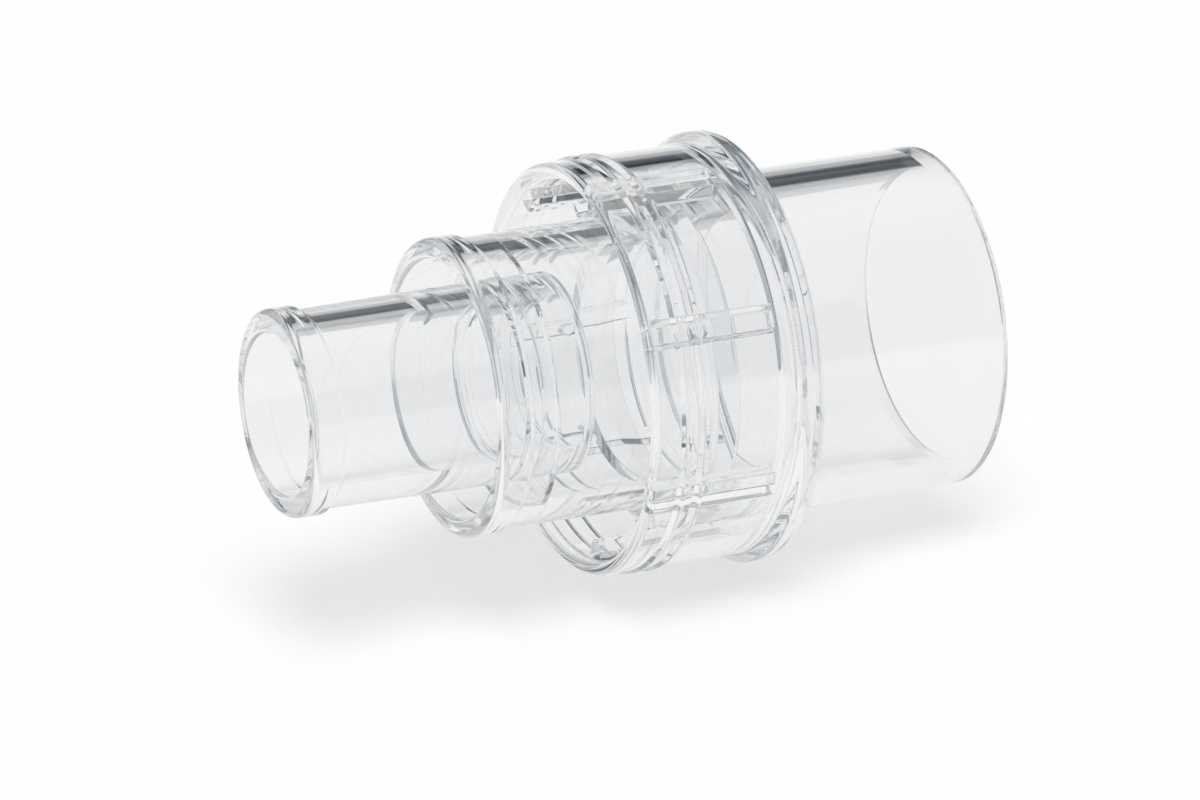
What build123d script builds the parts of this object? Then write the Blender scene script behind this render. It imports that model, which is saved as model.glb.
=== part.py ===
"""Clear airway adapter: four coaxial plastic mouldings, pushed together and bonded.

The adapter stands on the mouth of its wide rear socket, which lies in the plane z = 0.
+Z runs along the common axis, up to the mouth of the small 15 mm connector.
All sizes are in millimetres.
"""

import os

from build123d import *

# Standard taper of breathing connectors: change of diameter for each millimetre of length
cone_taper = 1 / 40

# Play that a bonded joint is filled across, on the radius
bond_gap = 0.02

# Low bead behind the mouth of each male cone
bead_height = 0.3
bead_length = 2.2
bead_step = 0.3

# Small connector: 15 mm male cone, with the web that closes the gap round it
small_cone_d = 15.0
small_gauge_depth = 7.6
small_wall = 1.45
small_tail_step = 0.3
small_reach = 17.0
small_tail_length = 3.8
small_tail_round = 1.0
web_thickness = 1.4
web_fillet = 0.4

# Middle connector: 22 mm male cone
middle_cone_d = 22.0
middle_gauge_depth = 6.1
middle_wall = 1.25
middle_length = 18.6
middle_outlet_length = 2.0
middle_outlet_lip = 0.82
web_ledge = 0.35
web_seat_depth = 5.0

# Rear socket: plain wide tube, whose bore takes a male cone as large as the middle connector's
socket_ease = 0.2
socket_wall = 1.8
socket_depth = 16.0
socket_lead_in_width = 0.35
socket_lead_in_depth = 1.2
socket_throat_length = 6.0
socket_neck_depth = 2.8
socket_end_round = 0.5
socket_front_round = 0.5

# Ribbed collar: open-mouthed ring on the socket's front end, with a flange at its back
collar_wall = 1.25
collar_mouth_relief = 0.25
collar_mouth_step = 0.8
collar_reach = 5.7
collar_grip = 7.9
seat_ring_length = 2.5
seat_ring_fillet = 0.4
flange_lip = 0.85
flange_thickness = 1.5
flange_slope = 0.9
flange_rear_round = 0.6
flange_front_round = 0.8
flange_fillet = 0.8

# Two thin ridges round the collar, behind its mouth
ridge_count = 2
ridge_setback = 2.6
ridge_pitch = 1.4
ridge_width = 0.8
ridge_height = 0.25

# Straight ribs inside the collar, which centre it on the socket, and their stop nibs
rib_count = 7
rib_base_width = 2.1
rib_top_width = 1.3
rib_height = 1.32
rib_clearance = 0.03
rib_rear_gap = 1.0
nib_height = 1.0
nib_d = 1.3

# Rounding of the tube mouths: outer edge and inner edge
mouth_round = 0.7
mouth_inner_round = 0.45

# Levels above the plane that the adapter stands on
socket_shoulder_z = socket_depth
middle_rear_z = socket_shoulder_z + socket_throat_length
socket_front_z = middle_rear_z + socket_neck_depth
middle_mouth_z = middle_rear_z + middle_length
web_rear_z = middle_mouth_z - web_seat_depth
web_front_z = web_rear_z + web_thickness
small_mouth_z = web_front_z + small_reach
small_tail_z = web_rear_z - small_tail_length
collar_mouth_z = socket_front_z + collar_reach
collar_rear_z = socket_front_z - collar_grip

# Diameters that follow from the cones and the walls, from the inside out
middle_bore_d = middle_cone_d - 2 * middle_wall
socket_bore_d = middle_cone_d + 2 * socket_ease
socket_d = socket_bore_d + 2 * socket_wall
collar_bore_d = socket_d + 2 * (rib_clearance + rib_height)
collar_d = collar_bore_d + 2 * collar_wall


def turned(corners):
    """Ring turned about Z from closed corners of (radius, height, rounding)."""
    points = [(radius, height) for radius, height, _ in corners]
    rounds = [rounding for _, _, rounding in corners]
    outline = FilletPolyline(*points, radius=rounds, close=True)
    return revolve(Plane.XZ * make_face(outline), Axis.Z)


def cone_radius(cone_d, gauge_z, height):
    """Radius of a connector's cone, which is cone_d across at gauge_z and narrows upwards."""
    return (cone_d + (gauge_z - height) * cone_taper) / 2


def limited(rounding, wall):
    """Rounding that leaves room for a second one on the same wall."""
    return min(rounding, 0.45 * wall)


def make_small_connector():
    gauge_z = small_mouth_z - small_gauge_depth
    bead_z = small_mouth_z - bead_length
    bead_r = small_cone_d / 2 + bead_height
    bore_r = small_cone_d / 2 - small_wall
    tail_bore_r = bore_r - small_tail_step
    web_r = middle_bore_d / 2 - bond_gap
    tail_r = cone_radius(small_cone_d, gauge_z, web_front_z)
    neck_r = cone_radius(small_cone_d, gauge_z, bead_z - bead_step)
    mouth_wall = bead_r - bore_r
    tail_wall = tail_r - tail_bore_r
    return turned([
        (tail_r, small_tail_z, limited(small_tail_round, tail_wall)),
        (tail_r, web_rear_z, web_fillet),
        (web_r, web_rear_z, 0),
        (web_r, web_front_z, 0),
        (tail_r, web_front_z, web_fillet),
        (neck_r, bead_z - bead_step, bead_step),
        (bead_r, bead_z, bead_step),
        (bead_r, small_mouth_z, limited(mouth_round, mouth_wall)),
        (bore_r, small_mouth_z, limited(mouth_inner_round, mouth_wall)),
        (bore_r, web_front_z, 0),
        (tail_bore_r, web_front_z - web_fillet, 0),
        (tail_bore_r, small_tail_z, limited(mouth_inner_round, tail_wall)),
    ])


def middle_seat_radius():
    """Radius of the middle connector's straight rear end, where its cone is widest."""
    gauge_z = middle_mouth_z - middle_gauge_depth
    return cone_radius(middle_cone_d, gauge_z, socket_front_z)


def throat_radius():
    """Radius that the middle connector's outlet widens to, and that the socket carries on."""
    return middle_seat_radius() - middle_outlet_lip


def make_middle_connector():
    gauge_z = middle_mouth_z - middle_gauge_depth
    bead_z = middle_mouth_z - bead_length
    bead_r = middle_cone_d / 2 + bead_height
    bore_r = middle_bore_d / 2
    inner_r = bore_r - web_ledge
    seat_r = middle_seat_radius()
    neck_r = cone_radius(middle_cone_d, gauge_z, bead_z - bead_step)
    mouth_wall = bead_r - bore_r
    return turned([
        (seat_r, middle_rear_z, 0),
        (seat_r, socket_front_z, 0),
        (neck_r, bead_z - bead_step, bead_step),
        (bead_r, bead_z, bead_step),
        (bead_r, middle_mouth_z, limited(mouth_round, mouth_wall)),
        (bore_r, middle_mouth_z, limited(mouth_inner_round, mouth_wall)),
        (bore_r, web_rear_z, 0),
        (inner_r, web_rear_z, 0),
        (inner_r, middle_rear_z + middle_outlet_length, 0),
        (throat_radius(), middle_rear_z, 0),
    ])


def make_rear_socket():
    gauge_z = (socket_lead_in_depth + socket_depth) / 2
    outer_r = socket_d / 2
    throat_r = throat_radius()
    neck_r = middle_seat_radius() + bond_gap
    inner_r = cone_radius(socket_bore_d, gauge_z, socket_shoulder_z)
    mouth_r = cone_radius(socket_bore_d, gauge_z, socket_lead_in_depth)
    end_wall = outer_r - mouth_r - socket_lead_in_width
    front_wall = outer_r - neck_r
    return turned([
        (mouth_r + socket_lead_in_width, 0, 0),
        (outer_r, 0, limited(socket_end_round, end_wall)),
        (outer_r, socket_front_z, limited(socket_front_round, front_wall)),
        (neck_r, socket_front_z, 0),
        (neck_r, middle_rear_z, 0),
        (throat_r, middle_rear_z, 0),
        (throat_r, socket_shoulder_z, 0),
        (inner_r, socket_shoulder_z, 0),
        (mouth_r, socket_lead_in_depth, 0),
    ])


def collar_ring():
    """The collar's plain ring, with its rounded flange and its thick seat on the socket."""
    outer_r = collar_d / 2
    bore_r = collar_bore_d / 2
    mouth_r = bore_r + collar_mouth_relief
    flange_r = outer_r + flange_lip
    seat_r = socket_d / 2 + bond_gap
    seat_top_z = collar_rear_z + seat_ring_length
    flange_top_z = collar_rear_z + flange_thickness
    mouth_wall = outer_r - mouth_r
    return turned([
        (seat_r, collar_rear_z, 0),
        (flange_r, collar_rear_z, flange_rear_round),
        (flange_r, flange_top_z, flange_front_round),
        (outer_r, flange_top_z + flange_slope, flange_fillet),
        (outer_r, collar_mouth_z, limited(mouth_round, mouth_wall)),
        (mouth_r, collar_mouth_z, limited(mouth_inner_round, mouth_wall)),
        (mouth_r, collar_mouth_z - collar_mouth_step, 0),
        (bore_r, collar_mouth_z - collar_mouth_step, 0),
        (bore_r, seat_top_z, seat_ring_fillet),
        (seat_r, seat_top_z, 0),
    ])


def ridge(height):
    """One low rounded ridge round the collar, with its crest at the given height."""
    outer_r = collar_d / 2
    root_r = outer_r - ridge_height
    low = height - ridge_width / 2
    high = height + ridge_width / 2
    crest = ThreePointArc((outer_r, low), (outer_r + ridge_height, height), (outer_r, high))
    root = Polyline((outer_r, high), (root_r, high), (root_r, low), (outer_r, low))
    return revolve(Plane.XZ * make_face(crest + root), Axis.Z)


def rib_with_nib():
    """One straight rib on +X inside the collar, with the round nib that stops on the socket."""
    base_r = collar_bore_d / 2
    top_r = base_r - rib_height
    root_r = base_r + collar_wall / 3
    low = collar_rear_z + seat_ring_length + rib_rear_gap
    high = collar_mouth_z - collar_mouth_step
    section = make_face(Polyline(
        (root_r, -rib_base_width / 2),
        (base_r, -rib_base_width / 2),
        (top_r, -rib_top_width / 2),
        (top_r, rib_top_width / 2),
        (base_r, rib_base_width / 2),
        (root_r, rib_base_width / 2),
        close=True,
    ))
    rib = extrude(Pos(0, 0, low) * section, high - low)
    nib_length = nib_height + rib_height
    nib_plane = Plane(
        origin=(base_r, 0, socket_front_z + nib_d / 2),
        x_dir=(0, 1, 0),
        z_dir=(-1, 0, 0),
    )
    nib = extrude(nib_plane * Circle(nib_d / 2), nib_length)
    return rib + nib


def make_ribbed_collar():
    collar = collar_ring()
    for index in range(ridge_count):
        collar += ridge(collar_mouth_z - ridge_setback - index * ridge_pitch)
    rib = rib_with_nib()
    for index in range(rib_count):
        collar += Rot(0, 0, index * 360 / rib_count) * rib
    return collar


os.makedirs("parts", exist_ok=True)
export_step(make_small_connector(), "parts/small_connector.step")
export_step(make_middle_connector(), "parts/middle_connector.step")
export_step(make_ribbed_collar(), "parts/ribbed_collar.step")
export_step(make_rear_socket(), "parts/rear_socket.step")
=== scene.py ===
"""Clear airway adapter, lying on a white sweep under soft studio light.

The adapter keeps its own frame: it stands on its rear socket, with +Z up the common axis.
The sweep is therefore an upright plane beside it, and the camera is turned to match.
The pieces' sizes are in millimetres, and the studio's are in metres.
"""

import bpy
import numpy as np
from mathutils import Matrix, Vector


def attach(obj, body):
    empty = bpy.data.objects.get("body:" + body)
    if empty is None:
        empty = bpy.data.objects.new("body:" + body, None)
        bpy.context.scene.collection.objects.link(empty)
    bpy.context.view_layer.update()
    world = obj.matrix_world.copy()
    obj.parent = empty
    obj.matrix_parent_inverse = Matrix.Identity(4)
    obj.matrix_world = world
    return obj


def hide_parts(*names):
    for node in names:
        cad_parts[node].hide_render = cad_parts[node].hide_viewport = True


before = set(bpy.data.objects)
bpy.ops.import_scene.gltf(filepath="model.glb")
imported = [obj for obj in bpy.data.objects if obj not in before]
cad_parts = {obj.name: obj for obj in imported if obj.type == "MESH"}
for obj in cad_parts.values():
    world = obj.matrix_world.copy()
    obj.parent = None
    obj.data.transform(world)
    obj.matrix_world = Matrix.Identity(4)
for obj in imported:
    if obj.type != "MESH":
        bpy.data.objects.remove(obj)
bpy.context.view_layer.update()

MM = 0.001

# Standard taper of breathing connectors: change of diameter for each millimetre of length
CONE_TAPER = 1 / 40

# Gap that a bonded joint fills, on the radius
BOND = 0.02

# Roundings: a male tube's mouth outside and inside, moulded edges, and sharp corners
MOUTH_ROUND = 0.6
MOUTH_INNER_ROUND = 0.45
EDGE = 0.12
SHARP_EDGE = 0.05

# Low bead behind the mouth of each male tube
BEAD_HEIGHT = 0.3
BEAD_LENGTH = 2.2
BEAD_STEP = 0.3

# Rear socket, and the heights that follow from it
SOCKET_R = 13.0
SOCKET_BORE_R = 11.293
SOCKET_BORE_END_R = 11.107
SOCKET_SHOULDER_Z = 16.0
SOCKET_FRONT_ROUND = 0.5
LEAD_IN_WIDTH = 0.35
LEAD_IN_DEPTH = 1.2
LEAD_IN_ROUND = 0.04
SOCKET_END_ROUND = 0.15
SOCKET_END_INNER_ROUND = 0.2
MIDDLE_REAR_Z = SOCKET_SHOULDER_Z + 6.0
SOCKET_FRONT_Z = MIDDLE_REAR_Z + 2.8

# Middle connector: 22 mm male cone
MIDDLE_CONE_R = 11.0
MIDDLE_BORE_R = 9.75
MIDDLE_LEDGE = 0.35
MIDDLE_LEDGE_ROUND = 0.02
MIDDLE_LIP = 0.82
MIDDLE_OUTLET_LENGTH = 2.0
MIDDLE_OUTLET_ROUND = 0.4
MIDDLE_MOUTH_Z = MIDDLE_REAR_Z + 18.6
MIDDLE_GAUGE_Z = MIDDLE_MOUTH_Z - 6.1

# Small connector: 15 mm male cone, with the thin web that closes the gap round it
SMALL_CONE_R = 7.5
SMALL_BORE_R = 6.05
SMALL_STEP = 0.3
SMALL_STEP_SLOPE = 0.4
SMALL_STEP_ROUND = 0.15
WEB_FILLET = 0.06
TAIL_ROUND = 0.25
TAIL_INNER_ROUND = 0.3
WEB_REAR_Z = MIDDLE_MOUTH_Z - 5.0
WEB_FRONT_Z = WEB_REAR_Z + 0.4
SMALL_STEP_Z = WEB_REAR_Z + 1.4
SMALL_TAIL_Z = WEB_REAR_Z - 3.8
SMALL_MOUTH_Z = SMALL_STEP_Z + 17.0
SMALL_GAUGE_Z = SMALL_MOUTH_Z - 7.6

# Ribbed collar: open ring on the socket's front end, with a flange at its back
COLLAR_R = 15.6
COLLAR_BORE_R = 14.35
COLLAR_MOUTH_Z = SOCKET_FRONT_Z + 5.7
COLLAR_REAR_Z = SOCKET_FRONT_Z - 7.9
COLLAR_MOUTH_RELIEF = 0.25
COLLAR_MOUTH_ROUND = 0.5
COLLAR_MOUTH_INNER_ROUND = 0.4
COLLAR_STEP_ROUND = 0.08
SEAT_LENGTH = 2.5
SEAT_FILLET = 0.4
FLANGE_R = 16.45
FLANGE_THICKNESS = 1.5
FLANGE_SLOPE = 0.9
FLANGE_REAR_ROUND = 0.6
FLANGE_FRONT_ROUND = 0.7
FLANGE_FILLET = 0.8

# Two thin ridges round the collar, from the rear one to the front one
RIDGE_CRESTS_Z = (COLLAR_MOUTH_Z - 4.0, COLLAR_MOUTH_Z - 2.6)
RIDGE_HEIGHT = 0.31
RIDGE_HALF_WIDTH = 0.45
RIDGE_ROUND = 0.3

# Straight ribs inside the collar; each end rises to RIB_END_SHARE of the depth over RIB_END
RIB_COUNT = 7
RIB_HEIGHT = 1.32
RIB_BASE_WIDTH = 2.1
RIB_TOP_WIDTH = 1.3
RIB_TOP_ROUND = 0.18
RIB_LOW_Z = COLLAR_REAR_Z + 2.9
RIB_HIGH_Z = COLLAR_MOUTH_Z - 0.8
RIB_END = 0.08
RIB_END_SHARE = 0.85
RIB_FULL = 0.3

# Round nib on each rib, which stops on the socket's front face
NIB_R = 0.65
NIB_LENGTH = 1.0
NIB_ROUND = 0.15
NIB_INSET = 0.01

# Rings of points on a nib's two flat ends, between the pole and the edge
NIB_ROOT_RING_R = 0.35
NIB_TIP_RING_R = 0.25

# Fineness of the meshes: sides of a full turn, distances between points along an outline, the
# length from which a side gets more points, and the turn from which an edge is sharp
TUBE_SIDES = 288
NIB_SIDES = 40
TUBE_SPACING = 2.0
COLLAR_SPACING = 2.5
RIB_SPACING = 0.35
LONG_SIDE = 0.5
SHARP_TURN = np.radians(32)


def cone_radius(radius, gauge_z, height):
    """Radius of a connector's cone, which has the given radius at gauge_z and narrows upwards."""
    return radius + (gauge_z - height) * CONE_TAPER / 2


def rounded(corners, steps=8):
    """Closed outline with an arc of the third column's radius at each (radius, height) corner.

    With p and q the unit directions from a corner to its neighbours, and h half the angle
    between them, the arc's centre is r / sin(h) along p + q, and the arc meets the sides
    r / tan(h) from the corner. Its points turn evenly from one side to the other.
    """
    corners = np.array(corners, float)
    point, radius = corners[:, :2], corners[:, 2:]
    before = np.roll(point, 1, axis=0) - point
    after = np.roll(point, -1, axis=0) - point
    before /= np.linalg.norm(before, axis=1, keepdims=True)
    after /= np.linalg.norm(after, axis=1, keepdims=True)
    half = np.arccos(np.clip((before * after).sum(1, keepdims=True), -1, 0.999999)) / 2
    middle = before + after
    middle /= np.maximum(np.linalg.norm(middle, axis=1, keepdims=True), 1e-9)
    to_centre = middle * radius / np.sin(half)
    first = before * radius / np.tan(half) - to_centre
    last = after * radius / np.tan(half) - to_centre
    sweep = np.pi - 2 * half
    share = np.linspace(0, 1, steps)[None, :]
    turn = np.maximum(np.sin(sweep), 1e-9)
    arc = (np.sin((1 - share) * sweep) / turn)[:, :, None] * first[:, None, :]
    arc = arc + (np.sin(share * sweep) / turn)[:, :, None] * last[:, None, :]
    outline = ((point + to_centre)[:, None, :] + arc).reshape(-1, 2)
    gap = np.linalg.norm(outline - np.roll(outline, 1, axis=0), axis=1)
    return outline[gap > 1e-5]


def sampled(outline, step, closed=True, hold=0.06, clear=0.1):
    """The outline with more points on its long sides, which keep the shading of the arcs off them.

    Points go in every step along the outline's own length, where no other point is as near as
    clear, and at the distance hold from both ends of each long side.
    """
    ring = np.vstack([outline, outline[:1]]) if closed else outline
    side = np.linalg.norm(np.diff(ring, axis=0), axis=1)
    length = np.concatenate([[0], np.cumsum(side)])
    long_sides = side > LONG_SIDE
    even = np.arange(step, length[-1], step)
    nearest = np.abs(even[:, None] - length[None, :]).min(1)
    places = np.unique(np.concatenate([
        length,
        even[nearest > clear],
        length[:-1][long_sides] + hold,
        length[1:][long_sides] - hold,
    ]))
    if closed:
        places = places[:-1]
    return np.stack([np.interp(places, length, ring[:, axis]) for axis in (0, 1)], axis=1)


def turned(outline, angles, inward=0.0):
    """Grid of points of an outline turned about the axis: (r cos a, r sin a, z).

    inward gives how far each point of the grid lies inside the outline's own radius r.
    """
    radius = np.repeat(outline[:, :1], len(angles), axis=1) - inward
    height = np.repeat(outline[:, 1:], len(angles), axis=1)
    return np.stack([radius * np.cos(angles), radius * np.sin(angles), height], axis=2)


def ring_faces(rows, columns):
    """Quads of a grid that closes on itself both ways, facing outwards."""
    index = np.arange(rows * columns).reshape(rows, columns)
    across = np.roll(index, -1, axis=1)
    return np.stack([index, across, np.roll(across, -1, axis=0), np.roll(index, -1, axis=0)],
                    axis=2).reshape(-1, 4)


def piece(name, points, faces, node):
    """Mesh object of the given points, in millimetres, that stands for a node of the model."""
    mesh = bpy.data.meshes.new(name)
    mesh.from_pydata((points * MM).tolist(), [], faces)
    mesh.shade_smooth()
    mesh.set_sharp_from_angle(angle=SHARP_TURN)
    mesh.validate()
    obj = bpy.data.objects.new(name, mesh)
    bpy.context.scene.collection.objects.link(obj)
    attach(obj, "root")
    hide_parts(node)
    return obj


def tube(name, corners, node):
    """A moulded tube: its rounded outline turned evenly about the axis."""
    outline = sampled(rounded(corners), TUBE_SPACING)
    angles = np.linspace(0, 2 * np.pi, TUBE_SIDES, endpoint=False)
    points = turned(outline, angles).reshape(-1, 3)
    return piece(name, points, ring_faces(len(outline), TUBE_SIDES).tolist(), node)


def male_mouth(cone_r, gauge_z, mouth_z, bore_r):
    """Corners of a male tube's mouth: the cone's top end, the step up to the bead, and the rim."""
    bead_z = mouth_z - BEAD_LENGTH
    bead_r = cone_r + BEAD_HEIGHT
    return [
        (cone_radius(cone_r, gauge_z, bead_z - BEAD_STEP), bead_z - BEAD_STEP, BEAD_STEP),
        (bead_r, bead_z, BEAD_STEP),
        (bead_r, mouth_z, MOUTH_ROUND),
        (bore_r, mouth_z, MOUTH_INNER_ROUND),
    ]


def small_connector():
    """Small male tube with its thin web: one outline from the tail round to the tail's bore.

    The outside is the cone down to the web's front face and straight behind it. The bore is
    straight, and narrows by a short slope near the web.
    """
    tail_r = cone_radius(SMALL_CONE_R, SMALL_GAUGE_Z, WEB_FRONT_Z)
    tail_bore_r = SMALL_BORE_R - SMALL_STEP
    web_r = MIDDLE_BORE_R - BOND
    return tube("small_tube", [
        (tail_r, SMALL_TAIL_Z, TAIL_ROUND),
        (tail_r, WEB_REAR_Z + BOND, WEB_FILLET),
        (web_r, WEB_REAR_Z + BOND, 0),
        (web_r, WEB_FRONT_Z, 0),
        (tail_r, WEB_FRONT_Z, WEB_FILLET),
        *male_mouth(SMALL_CONE_R, SMALL_GAUGE_Z, SMALL_MOUTH_Z, SMALL_BORE_R),
        (SMALL_BORE_R, SMALL_STEP_Z, SMALL_STEP_ROUND),
        (tail_bore_r, SMALL_STEP_Z - SMALL_STEP_SLOPE, SMALL_STEP_ROUND),
        (tail_bore_r, SMALL_TAIL_Z, TAIL_INNER_ROUND),
    ], "small_connector")


def middle_seat_radius():
    """Radius of the middle tube's straight rear end, where its cone is widest."""
    return cone_radius(MIDDLE_CONE_R, MIDDLE_GAUGE_Z, SOCKET_FRONT_Z)


def middle_connector():
    """Middle male tube: a cone outside, and a bore with a ledge for the web and a wider outlet."""
    seat_r = middle_seat_radius()
    inner_r = MIDDLE_BORE_R - MIDDLE_LEDGE
    return tube("middle_tube", [
        (seat_r, MIDDLE_REAR_Z, SHARP_EDGE),
        (seat_r, SOCKET_FRONT_Z, 0),
        *male_mouth(MIDDLE_CONE_R, MIDDLE_GAUGE_Z, MIDDLE_MOUTH_Z, MIDDLE_BORE_R),
        (MIDDLE_BORE_R, WEB_REAR_Z, MIDDLE_LEDGE_ROUND),
        (inner_r, WEB_REAR_Z, MIDDLE_LEDGE_ROUND),
        (inner_r, MIDDLE_REAR_Z + MIDDLE_OUTLET_LENGTH, MIDDLE_OUTLET_ROUND),
        (seat_r - MIDDLE_LIP, MIDDLE_REAR_Z, 0),
    ], "middle_connector")


def rear_socket():
    """Wide tube with a tapered bore and a lead-in; its neck overlaps the middle tube by BOND.

    The overlap bonds the two in the picture, so that no film of air mirrors between them.
    """
    seat_r = middle_seat_radius() - BOND
    throat_r = middle_seat_radius() - MIDDLE_LIP
    neck_rear_z = MIDDLE_REAR_Z + BOND
    return tube("socket_tube", [
        (SOCKET_BORE_R + LEAD_IN_WIDTH, 0, SOCKET_END_INNER_ROUND),
        (SOCKET_R, 0, SOCKET_END_ROUND),
        (SOCKET_R, SOCKET_FRONT_Z, SOCKET_FRONT_ROUND),
        (seat_r, SOCKET_FRONT_Z, SHARP_EDGE),
        (seat_r, neck_rear_z, SHARP_EDGE),
        (throat_r, neck_rear_z, 0),
        (throat_r, SOCKET_SHOULDER_Z, EDGE),
        (SOCKET_BORE_END_R, SOCKET_SHOULDER_Z, EDGE),
        (SOCKET_BORE_R, LEAD_IN_DEPTH, LEAD_IN_ROUND),
    ], "rear_socket")


def rib_section():
    """Angles round the collar's bore, and the depth of the ribs at each of them.

    One pitch is drawn flat, as distance along the bore against depth, with rounded edges, and
    an angle is that distance over the radius that is left at that depth.
    """
    pitch = 2 * np.pi * COLLAR_BORE_R / RIB_COUNT
    base, top = RIB_BASE_WIDTH / 2, RIB_TOP_WIDTH / 2
    flat = rounded([
        (-pitch / 2, 0, 0), (-base, 0, EDGE), (-top, RIB_HEIGHT, RIB_TOP_ROUND),
        (top, RIB_HEIGHT, RIB_TOP_ROUND), (base, 0, EDGE), (pitch / 2, 0, 0),
    ], steps=5)
    flat = sampled(flat, RIB_SPACING, closed=False)[:-1]
    angle = flat[:, 0] / (COLLAR_BORE_R - flat[:, 1])
    turns = np.arange(RIB_COUNT)[:, None] * 2 * np.pi / RIB_COUNT
    return (angle[None, :] + turns).ravel(), np.tile(flat[:, 1], RIB_COUNT)


def nib_outline():
    """A nib's outline, as its radius against the depth in from the rib: straight, then rounded."""
    curve = np.linspace(0, np.pi / 2, 6)
    radius = np.concatenate([
        [NIB_ROOT_RING_R, NIB_R],
        NIB_R - NIB_ROUND + NIB_ROUND * np.cos(curve),
        [NIB_TIP_RING_R],
    ])
    depth = np.concatenate([
        [0, 0],
        NIB_LENGTH - NIB_ROUND + NIB_ROUND * np.sin(curve),
        [NIB_LENGTH],
    ])
    return radius, depth


def rib_nibs():
    """Round nibs on the ribs' inner faces: an outline turned about the line that points inwards.

    With d the distance in from the rib's face, F that face's radius and r the nib's radius
    there, a point lies F - d from the axis, r sin(t) along it and r cos(t) across it. Both
    ends close on a pole, and the whole is turned about the axis to each rib.
    """
    turn = np.linspace(0, 2 * np.pi, NIB_SIDES, endpoint=False)
    radius, depth = nib_outline()
    face_r = COLLAR_BORE_R - RIB_HEIGHT - NIB_INSET
    centre_z = SOCKET_FRONT_Z + NIB_R
    across = radius[:, None] * np.cos(turn)
    along = radius[:, None] * np.sin(turn) + centre_z
    inward = np.repeat(face_r - depth[:, None], NIB_SIDES, axis=1)
    one = np.stack([inward, across, along], axis=2).reshape(-1, 3)
    one = np.vstack([one, [[face_r, 0, centre_z], [face_r - NIB_LENGTH, 0, centre_z]]])
    index = np.arange(len(radius) * NIB_SIDES).reshape(len(radius), NIB_SIDES)
    beside = np.roll(index, -1, axis=1)
    sides = np.stack([index[:-1], index[1:], beside[1:], beside[:-1]], axis=2).reshape(-1, 4)
    start_pole, end_pole = np.full((2, NIB_SIDES), index.size) + [[0], [1]]
    start = np.stack([start_pole, index[0], beside[0]], axis=1)
    end = np.stack([end_pole, beside[-1], index[-1]], axis=1)
    angle = np.arange(RIB_COUNT) * 2 * np.pi / RIB_COUNT
    cos, sin = np.cos(angle)[:, None], np.sin(angle)[:, None]
    points = np.stack([
        cos * one[:, 0] - sin * one[:, 1],
        sin * one[:, 0] + cos * one[:, 1],
        np.repeat(one[None, :, 2], RIB_COUNT, axis=0),
    ], axis=2).reshape(-1, 3)
    shift = (np.arange(RIB_COUNT) * len(one))[:, None, None]
    quads = (sides[None] + shift).reshape(-1, 4)
    caps = (np.vstack([start, end])[None] + shift).reshape(-1, 3)
    return points, quads, caps


def ridge(crest_z):
    """Corners of one low rounded ridge on the collar's outside."""
    return [
        (COLLAR_R, crest_z - RIDGE_HALF_WIDTH, EDGE),
        (COLLAR_R + RIDGE_HEIGHT, crest_z, RIDGE_ROUND),
        (COLLAR_R, crest_z + RIDGE_HALF_WIDTH, EDGE),
    ]


def collar_outline(rib_ends):
    """Collar's outline: flange, ridges, mouth, bore with a point at each rib end, and seat."""
    seat_r = SOCKET_R + BOND
    mouth_r = COLLAR_BORE_R + COLLAR_MOUTH_RELIEF
    flange_top_z = COLLAR_REAR_Z + FLANGE_THICKNESS
    return sampled(rounded([
        (seat_r, COLLAR_REAR_Z, EDGE),
        (FLANGE_R, COLLAR_REAR_Z, FLANGE_REAR_ROUND),
        (FLANGE_R, flange_top_z, FLANGE_FRONT_ROUND),
        (COLLAR_R, flange_top_z + FLANGE_SLOPE, FLANGE_FILLET),
        *[corner for crest_z in RIDGE_CRESTS_Z for corner in ridge(crest_z)],
        (COLLAR_R, COLLAR_MOUTH_Z, COLLAR_MOUTH_ROUND),
        (mouth_r, COLLAR_MOUTH_Z, COLLAR_MOUTH_INNER_ROUND),
        (mouth_r, RIB_HIGH_Z, COLLAR_STEP_ROUND),
        *[(COLLAR_BORE_R, height, 0) for height in reversed(rib_ends)],
        (COLLAR_BORE_R, COLLAR_REAR_Z + SEAT_LENGTH, SEAT_FILLET),
        (seat_r, COLLAR_REAR_Z + SEAT_LENGTH, EDGE),
    ]), COLLAR_SPACING)


def ribbed_collar():
    """Ring with a flange at its back, two ridges outside, and straight ribs with nibs inside.

    The outline is turned about the axis. Where it is the bore, its radius is less by the
    ribs' depth at each angle, times a share that rises from 0 at both ends of the ribs to 1.
    """
    rib_ends = [
        RIB_LOW_Z, RIB_LOW_Z + RIB_END, RIB_LOW_Z + RIB_FULL,
        RIB_HIGH_Z - RIB_FULL, RIB_HIGH_Z - RIB_END, RIB_HIGH_Z,
    ]
    outline = collar_outline(rib_ends)
    angles, depth = rib_section()
    share = np.interp(outline[:, 1], rib_ends, [0, RIB_END_SHARE, 1, 1, RIB_END_SHARE, 0])
    share = share * (np.abs(outline[:, 0] - COLLAR_BORE_R) < 1e-6)
    ring = turned(outline, angles, share[:, None] * depth[None, :]).reshape(-1, 3)
    faces = ring_faces(len(outline), len(angles)).tolist()
    nibs, quads, caps = rib_nibs()
    faces += (quads + len(ring)).tolist() + (caps + len(ring)).tolist()
    return piece("collar_ring", np.vstack([ring, nibs]), faces, "ribbed_collar")


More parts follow.
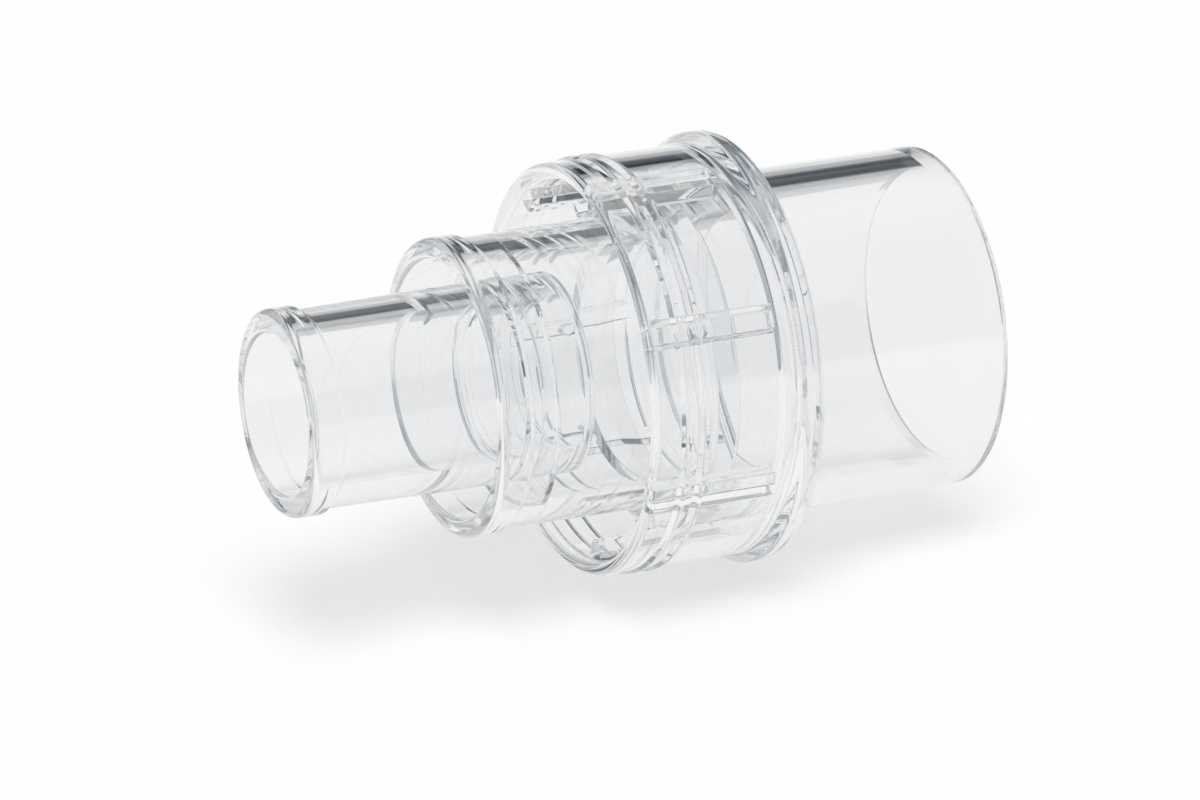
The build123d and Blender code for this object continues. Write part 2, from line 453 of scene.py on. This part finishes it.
class Value:
    """A shader socket that + - and * work on, each of which adds a Math node."""

    def __init__(self, nodes, socket):
        self.nodes = nodes
        self.socket = socket

    def maths(self, operation, other=0.0, reflected=False):
        pair = (other, self) if reflected else (self, other)
        made = self.nodes.add("ShaderNodeMath", {"operation": operation}, dict(enumerate(pair)))
        return Value(self.nodes, made.outputs[0])

    def __add__(self, other):
        return self.maths("ADD", other)

    def __sub__(self, other):
        return self.maths("SUBTRACT", other)

    def __rsub__(self, other):
        return self.maths("SUBTRACT", other, reflected=True)

    def __mul__(self, other):
        return self.maths("MULTIPLY", other)

    __radd__ = __add__
    __rmul__ = __mul__

    def up_to_one(self):
        return self.maths("MINIMUM", 1.0)

    def profile(self, stops):
        """Level that runs straight from stop to stop; a stop is an angle in degrees and a level.

        The angles rise from -180 to 180, and the value itself runs from 0 to 1 over them.
        """
        places = [(angle / 360 + 0.5, level) for angle, level in stops]
        made = self.nodes.add("ShaderNodeValToRGB", {"stops": places}, {0: self})
        return Value(self.nodes, made.outputs[0])

    def step(self, low, high, to_low=0.0, to_high=1.0):
        """Smooth change from to_low at low to to_high at high."""
        made = self.nodes.add(
            "ShaderNodeMapRange", {"interpolation_type": "SMOOTHSTEP"},
            {0: self, 1: low, 2: high, 3: to_low, 4: to_high},
        )
        return Value(self.nodes, made.outputs[0])


class Nodes:
    """The emptied node tree of a material or of the world."""

    def __init__(self, owner):
        owner.use_nodes = True
        self.tree = owner.node_tree
        self.tree.nodes.clear()

    def add(self, kind, settings=None, inputs=None):
        """Adds a node: its settings come first, then its sockets' values or links.

        The setting named stops gives a colour ramp its grey levels, each with its place.
        """
        made = self.tree.nodes.new(kind)
        for name, value in (settings or {}).items():
            if name == "stops":
                self.set_stops(made.color_ramp.elements, value)
            else:
                setattr(made, name, value)
        for name, value in (inputs or {}).items():
            socket = value.socket if isinstance(value, Value) else value
            if isinstance(socket, bpy.types.NodeSocket):
                self.tree.links.new(socket, made.inputs[name])
            else:
                made.inputs[name].default_value = socket
        return made

    @staticmethod
    def set_stops(elements, stops):
        """Places a ramp's first and last stops at its two ends, and new ones between them."""
        for place, level in stops[1:-1]:
            elements.new(place).color = (level, level, level, 1)
        for index in (0, -1):
            level = stops[index][1]
            elements[index].color = (level, level, level, 1)

    def value(self, kind, output, settings=None, inputs=None):
        return Value(self, self.add(kind, settings, inputs).outputs[output])


# Clear plastic: its faint tint, and the roughness of its fine marks where their noise is high
CLEAR_TINT = (0.984, 0.987, 0.990, 1)
MARKS_FROM = 0.35
MARKS_TO = 0.75
MARKED_ROUGHNESS = 0.03


def clear_plastic():
    """Clear moulded plastic: faintly wavy from the mould, with a thin film of finer marks."""
    material = bpy.data.materials.new("clear_plastic")
    nodes = Nodes(material)
    place = nodes.add("ShaderNodeTexCoord").outputs["Object"]
    wave = nodes.value("ShaderNodeTexNoise", "Fac", None,
                       {"Vector": place, "Scale": 90.0, "Detail": 1.0, "Roughness": 0.4})
    marks = nodes.value("ShaderNodeTexNoise", "Fac", None,
                        {"Vector": place, "Scale": 1400.0, "Detail": 2.0})
    bump = nodes.add("ShaderNodeBump", None,
                     {"Strength": 0.05, "Distance": 0.00003, "Height": wave})
    shader = nodes.add("ShaderNodeBsdfPrincipled", None, {
        "Base Color": CLEAR_TINT,
        "Roughness": marks.step(MARKS_FROM, MARKS_TO, 0.0, MARKED_ROUGHNESS),
        "IOR": 1.5,
        "Transmission Weight": 1.0,
        "Normal": bump.outputs[0],
    })
    nodes.add("ShaderNodeOutputMaterial", None, {"Surface": shader.outputs[0]})
    return material


# Direction square to the sweep below the adapter, from the sweep up to the lamps
FLOOR_TURN = np.radians(62.98)
FLOOR_UP = Vector((np.cos(FLOOR_TURN), np.sin(FLOOR_TURN), 0))

# Middle of the adapter, the camera's place and aim, and its lens and sensor in millimetres
ADAPTER_MIDDLE = Vector((0, 0, 0.027))
CAMERA_AT = Vector((0.479977, -0.048891, 0.234541))
CAMERA_AIM = Vector((0, -0.002614, 0.028279))
CAMERA_LENS = 210
CAMERA_SENSOR = 36

# Sweep: its drop towards the adapter's small end, its half sizes, and the white paper's shares
# of reflected and own light, with the white that the plastic shows and its share there
SWEEP_DROP = np.radians(4.5)
SWEEP_HALF_WIDTH = 0.4
SWEEP_HALF_DEPTH = 0.6
PAPER_GREY = 0.32
PAPER_GLOW = 0.69
WHITE_IN_PLASTIC = 0.88
SHARE_IN_PLASTIC = 0.75

# Room as the camera and the plastic see it: climb in degrees over the horizon behind the
# adapter, and the brightness there, straight ahead and beside
ROOM_AHEAD = [
    (-180, 0.55), (-90, 0.7), (-40, 0.9), (-10, 0.9), (0, 0.6), (7, 0.42),
    (9, 0.035), (24, 0.035), (26, 0.45), (38, 0.7), (46, 0.85), (75, 0.9),
    (110, 0.6), (180, 0.55),
]
ROOM_BESIDE = [
    (-180, 0.4), (-90, 0.5), (-14, 0.8), (-4, 0.2), (50, 0.2), (75, 0.55),
    (110, 0.45), (180, 0.4),
]

# Share of a direction to the left or right over which ahead turns into beside, and the blue
# tint of the dark parts, with the brightness over which it turns into white
BESIDE_FROM = 0.25
BESIDE_TO = 0.5
DARK_TINT = (0.52, 0.78, 1, 1)
TINT_FROM = 0.05
TINT_TO = 0.6
WHITE = (1, 1, 1, 1)

# Light that the room gives to the sweep: a round soft box high in front, and a weak glow. The
# box starts and is full at these cosines of the angle from its middle
SOFTBOX_UP = 0.87
SOFTBOX_FORWARD = 0.49
SOFTBOX_FROM = 0.955
SOFTBOX_TO = 0.98
SOFTBOX_STRENGTH = 11.2
ROOM_GLOW = 0.25

# Lamp over the adapter: its distances up and forward, its side and its power in watts
TOP_BOX_UP = 0.6
TOP_BOX_FORWARD = 0.18
TOP_BOX_SIZE = 0.28
TOP_BOX_POWER = 0.3

# Bounces of light inside the four clear walls
LIGHT_BOUNCES = 48


def camera_axes():
    """Directions to the right of the picture, away along the level sweep, and into the picture."""
    look = (CAMERA_AIM - CAMERA_AT).normalized()
    right = look.cross(FLOOR_UP).normalized()
    return right, FLOOR_UP.cross(right).normalized(), look


def make_camera():
    right, _, look = camera_axes()
    up = right.cross(look)
    data = bpy.data.cameras.new("camera")
    data.lens = CAMERA_LENS
    data.sensor_width = CAMERA_SENSOR
    data.clip_start = 0.01
    data.clip_end = 20
    camera = bpy.data.objects.new("camera", data)
    camera.matrix_world = Matrix((right, up, -look)).transposed().to_4x4()
    camera.location = CAMERA_AT
    bpy.context.scene.collection.objects.link(camera)
    bpy.context.scene.camera = camera


def white_sweep():
    """White paper that keeps the soft shadow, and that is not there when seen from below.

    What the plastic mirrors or lets through is mostly an even white, with little of the shadow.
    """
    material = bpy.data.materials.new("white_sweep")
    nodes = Nodes(material)
    paper = nodes.add("ShaderNodeBsdfDiffuse", None,
                      {"Color": (PAPER_GREY, PAPER_GREY, PAPER_GREY, 1)})
    glow = nodes.add("ShaderNodeEmission", None, {"Color": WHITE, "Strength": PAPER_GLOW})
    both = nodes.add("ShaderNodeAddShader", None, {0: paper.outputs[0], 1: glow.outputs[0]})
    path = nodes.add("ShaderNodeLightPath")
    through = Value(nodes, path.outputs["Is Transmission Ray"])
    mirrored = Value(nodes, path.outputs["Is Glossy Ray"])
    plain = nodes.add("ShaderNodeEmission", None,
                      {"Color": WHITE, "Strength": WHITE_IN_PLASTIC})
    lit = nodes.add("ShaderNodeMixShader", None, {
        0: (through + mirrored).up_to_one() * SHARE_IN_PLASTIC,
        1: both.outputs[0],
        2: plain.outputs[0],
    })
    nothing = nodes.add("ShaderNodeBsdfTransparent")
    below = nodes.value("ShaderNodeNewGeometry", "Backfacing")
    shader = nodes.add("ShaderNodeMixShader", None,
                       {0: below, 1: lit.outputs[0], 2: nothing.outputs[0]})
    nodes.add("ShaderNodeOutputMaterial", None, {"Surface": shader.outputs[0]})
    return material


def make_sweep():
    """Flat sweep that touches the flange, and drops a little towards the adapter's small end.

    Its normal is the level sweep's times the cosine of the drop, plus the common axis times
    the sine. Its sides run along the picture and away from the camera.
    """
    right, away, _ = camera_axes()
    normal = FLOOR_UP * np.cos(SWEEP_DROP) + Vector((0, 0, 1)) * np.sin(SWEEP_DROP)
    contact = Vector((0, 0, COLLAR_REAR_Z)) * MM - FLOOR_UP * FLANGE_R * MM
    along = (right - normal * right.dot(normal)).normalized()
    across = normal.cross(along)
    if across.dot(away) < 0:
        across = -across
    wide, deep = along * SWEEP_HALF_WIDTH, across * SWEEP_HALF_DEPTH
    corners = [contact - wide + deep, contact - wide - deep,
               contact + wide - deep, contact + wide + deep]
    mesh = bpy.data.meshes.new("sweep")
    mesh.from_pydata([tuple(corner) for corner in corners], [], [(0, 1, 2, 3)])
    mesh.materials.append(white_sweep())
    obj = bpy.data.objects.new("sweep", mesh)
    bpy.context.scene.collection.objects.link(obj)


def make_studio():
    """White room with a dark gap behind the adapter, which draws the bands along the tubes.

    The camera, and what the plastic mirrors or lets through, see the room. The sweep is lit by
    a soft box and a weak glow instead. A direction's climb is the arc tangent of its share up
    from the sweep over its share away from the camera, written as a part of a full turn.
    """
    right, away, _ = camera_axes()
    world = bpy.data.worlds.new("studio")
    bpy.context.scene.world = world
    nodes = Nodes(world)
    direction = nodes.add("ShaderNodeTexCoord").outputs["Generated"]

    def along(axis):
        return nodes.value("ShaderNodeVectorMath", "Value", {"operation": "DOT_PRODUCT"},
                           {0: direction, 1: tuple(axis)})

    climb = along(FLOOR_UP).maths("ARCTAN2", along(away)) * (1 / (2 * np.pi)) + 0.5
    turn = along(right).maths("ABSOLUTE").step(BESIDE_FROM, BESIDE_TO)
    shade = climb.profile(ROOM_AHEAD) * (1.0 - turn) + climb.profile(ROOM_BESIDE) * turn
    tint = nodes.add("ShaderNodeMix", {"data_type": "RGBA"},
                     {0: shade.step(TINT_FROM, TINT_TO), 6: DARK_TINT, 7: WHITE})
    room = nodes.add("ShaderNodeBackground", None,
                     {"Color": tint.outputs[2], "Strength": shade})
    softbox = along((FLOOR_UP * SOFTBOX_UP - away * SOFTBOX_FORWARD).normalized())
    softbox = softbox.step(SOFTBOX_FROM, SOFTBOX_TO) * SOFTBOX_STRENGTH
    light = nodes.add("ShaderNodeBackground", None,
                      {"Color": WHITE, "Strength": softbox + ROOM_GLOW})
    path = nodes.add("ShaderNodeLightPath")
    camera, mirrored, through, after_sweep = [
        Value(nodes, path.outputs[name]) for name in
        ("Is Camera Ray", "Is Glossy Ray", "Is Transmission Ray", "Diffuse Depth")
    ]
    shows_room = (camera + mirrored + through).up_to_one() * (1.0 - after_sweep.up_to_one())
    mix = nodes.add("ShaderNodeMixShader", None,
                    {0: shows_room, 1: light.outputs[0], 2: room.outputs[0]})
    nodes.add("ShaderNodeOutputWorld", None, {"Surface": mix.outputs[0]})


def make_top_box():
    """Square soft box above and in front of the adapter, which the plastic doesn't mirror."""
    _, away, _ = camera_axes()
    place = ADAPTER_MIDDLE + FLOOR_UP * TOP_BOX_UP - away * TOP_BOX_FORWARD
    data = bpy.data.lights.new("top_box", "AREA")
    data.size = TOP_BOX_SIZE
    data.energy = TOP_BOX_POWER
    lamp = bpy.data.objects.new("top_box", data)
    lamp.rotation_mode = "QUATERNION"
    lamp.rotation_quaternion = (ADAPTER_MIDDLE - place).to_track_quat("-Z", "Y")
    lamp.location = place
    lamp.visible_glossy = False
    lamp.visible_transmission = False
    bpy.context.scene.collection.objects.link(lamp)


bpy.context.scene.view_settings.view_transform = "Standard"
bpy.context.scene.cycles.max_bounces = LIGHT_BOUNCES
bpy.context.scene.cycles.transmission_bounces = LIGHT_BOUNCES
bpy.context.scene.cycles.glossy_bounces = LIGHT_BOUNCES

make_camera()
make_sweep()
make_studio()
make_top_box()

plastic = clear_plastic()
for made in (small_connector(), middle_connector(), rear_socket(), ribbed_collar()):
    made.data.materials.append(plastic)
